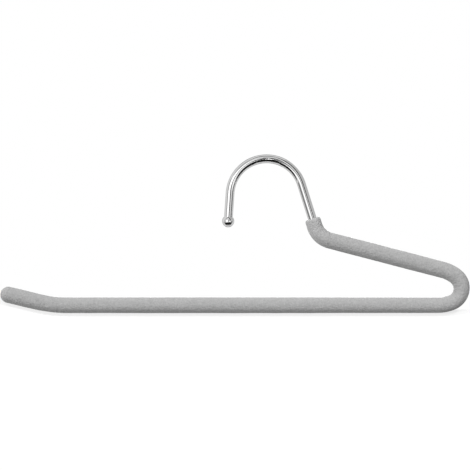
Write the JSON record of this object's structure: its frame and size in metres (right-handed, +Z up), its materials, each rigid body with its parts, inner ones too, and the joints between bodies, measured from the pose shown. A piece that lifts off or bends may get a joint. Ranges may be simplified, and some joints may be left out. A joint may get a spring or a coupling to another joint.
{
  "type": "trouser hanger",
  "caption": "Open-ended trouser hanger: a bent chromed rod with a ball-tipped hook, and a level bar in a soft flocked sleeve, upturned at its free end.",
  "frame": {"origin": "the point inside the top of the hook that rests on a rail", "axes": "+Z up as it hangs, +X along the level bar towards the closed bend, the front faces -Y"},
  "size_m": [0.3397, 0.0116, 0.1151],
  "materials": {
    "chrome_plate": "polished",
    "ball_chrome": "polished",
    "foam": "matte",
    "cap_rubber": "matte",
    "flock": "matte"
  },
  "bodies": {
    "root": {"frame_rod": "chrome_plate", "hook_ball": "ball_chrome", "foam_sleeve": "foam", "end_cap": "cap_rubber", "flock_skin": "flock"}
  },
  "joints": []
}
